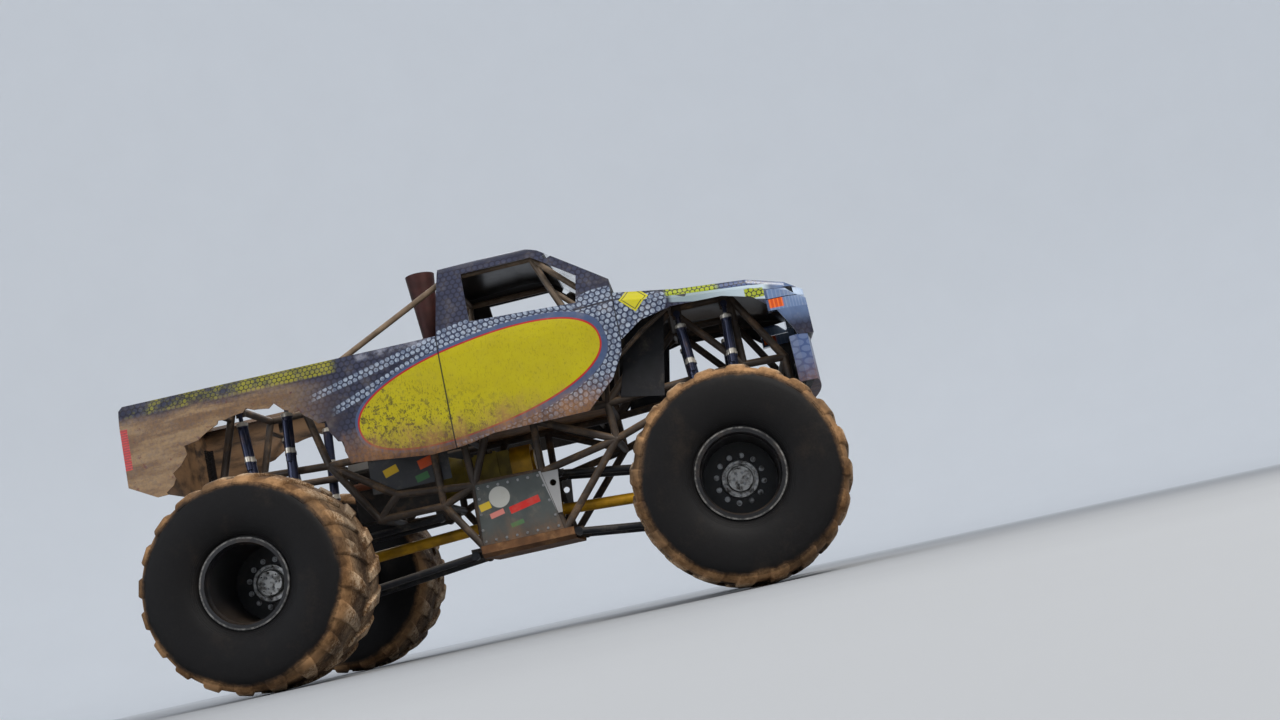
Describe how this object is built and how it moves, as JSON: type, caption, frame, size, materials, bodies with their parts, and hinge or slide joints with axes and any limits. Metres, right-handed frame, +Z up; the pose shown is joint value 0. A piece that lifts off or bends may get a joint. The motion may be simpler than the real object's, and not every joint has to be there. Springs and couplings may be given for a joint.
{
  "type": "monster truck",
  "caption": "Monster truck with a pickup body shell, tube frame, huge lugged tyres on steered planetary axles and a tall exhaust stack behind the cab.",
  "frame": {"origin": "on the ground under the centre of the truck's bounding box", "axes": "+X forward, +Y to the truck's left, +Z up"},
  "size_m": [5.73, 3.692, 3.3],
  "materials": {
    "frame_tube": "worn satin paint with dust",
    "body_shell": "painted glass-fibre shell",
    "clear_sheet": "clear polycarbonate",
    "dark_plastic": "matte",
    "lamp_clear": "clear lens",
    "lamp_red": "red lens",
    "bumper": "painted glass-fibre",
    "sheet_metal": "dusty sheet",
    "seat_shell": "padded shell",
    "grip": "matte grip",
    "engine_iron": "rough casting",
    "gearbox_paint": "golden yellow paint",
    "axle_iron": "painted casting",
    "link_bar": "black paint",
    "shock_steel": "dark steel",
    "skid": "scraped and muddy plate",
    "side_panel": "dusty sheet panel",
    "stack_steel": "heat-stained steel",
    "tyre": "muddy rubber",
    "rim": "black paint",
    "hub": "bare machined steel",
    "rod_chrome": "polished rod"
  },
  "bodies": {
    "root": {"frame_main": "frame_tube", "frame_front": "frame_tube", "frame_rear": "frame_tube", "roll_cage": "frame_tube", "body_front": "body_shell", "body_cab": "body_shell", "body_bed": "body_shell", "windscreen": "clear_sheet", "grille": "dark_plastic", "front_lamps": "lamp_clear", "tail_lamps": "lamp_red", "front_bumper": "bumper", "cab_floor": "sheet_metal", "driver_seat": "seat_shell", "steering_wheel": "grip", "dashboard": "dark_plastic", "engine_block": "engine_iron", "gearbox": "gearbox_paint", "transfer_case": "gearbox_paint", "driveshafts": "gearbox_paint", "front_axle": "axle_iron", "rear_axle": "axle_iron", "suspension_links": "link_bar", "shock_absorbers": "shock_steel", "steering_barrels": "shock_steel", "skid_plate": "skid", "side_panels": "side_panel", "exhaust_stack": "stack_steel", "inner_fenders": "dark_plastic"},
    "knuckle_fl": {"knuckle_fl": "axle_iron"},
    "wheel_fl": {"tyre_fl": "tyre", "rim_fl": "rim", "hub_fl": "hub"},
    "knuckle_fr": {"knuckle_fr": "axle_iron"},
    "wheel_fr": {"tyre_fr": "tyre", "rim_fr": "rim", "hub_fr": "hub"},
    "knuckle_rl": {"knuckle_rl": "axle_iron"},
    "wheel_rl": {"tyre_rl": "tyre", "rim_rl": "rim", "hub_rl": "hub"},
    "knuckle_rr": {"knuckle_rr": "axle_iron"},
    "wheel_rr": {"tyre_rr": "tyre", "rim_rr": "rim", "hub_rr": "hub"},
    "rod_front": {"steering_rod_front": "rod_chrome"},
    "rod_rear": {"steering_rod_rear": "rod_chrome"}
  },
  "joints": [
    {"name": "steer_fl", "type": "hinge", "parent": "root", "child": "knuckle_fl", "pos_m": [1.995, 0.72, 0.838], "axis": [0, 0, 1], "range_deg": [-25, 25]},
    {"name": "steer_fr", "type": "hinge", "parent": "root", "child": "knuckle_fr", "pos_m": [1.995, -0.72, 0.838], "axis": [0, 0, 1], "range_deg": [-25, 25]},
    {"name": "steer_rod_front", "type": "slide", "parent": "root", "child": "rod_front", "axis": [0, 1, 0], "range_m": [-0.1362, 0.1362]},
    {"name": "steer_rl", "type": "hinge", "parent": "root", "child": "knuckle_rl", "pos_m": [-1.785, 0.72, 0.838], "axis": [0, 0, 1], "range_deg": [-20, 20]},
    {"name": "steer_rr", "type": "hinge", "parent": "root", "child": "knuckle_rr", "pos_m": [-1.785, -0.72, 0.838], "axis": [0, 0, 1], "range_deg": [-20, 20]},
    {"name": "steer_rod_rear", "type": "slide", "parent": "root", "child": "rod_rear", "axis": [0, 1, 0], "range_m": [-0.1104, 0.1104]},
    {"name": "roll_fl", "type": "hinge", "parent": "knuckle_fl", "child": "wheel_fl", "pos_m": [1.995, 1.3, 0.838], "axis": [0, 1, 0], "continuous": true},
    {"name": "roll_fr", "type": "hinge", "parent": "knuckle_fr", "child": "wheel_fr", "pos_m": [1.995, -1.3, 0.838], "axis": [0, 1, 0], "continuous": true},
    {"name": "roll_rl", "type": "hinge", "parent": "knuckle_rl", "child": "wheel_rl", "pos_m": [-1.785, 1.3, 0.838], "axis": [0, 1, 0], "continuous": true},
    {"name": "roll_rr", "type": "hinge", "parent": "knuckle_rr", "child": "wheel_rr", "pos_m": [-1.785, -1.3, 0.838], "axis": [0, 1, 0], "continuous": true}
  ],
  "couplings": [
    {"joint": "steer_fr", "follows": "steer_fl", "ratio": 1},
    {"joint": "steer_rod_front", "follows": "steer_fl", "m_per_rad": 0.3099},
    {"joint": "steer_rr", "follows": "steer_rl", "ratio": 1},
    {"joint": "steer_rod_rear", "follows": "steer_rl", "m_per_rad": -0.3135}
  ]
}
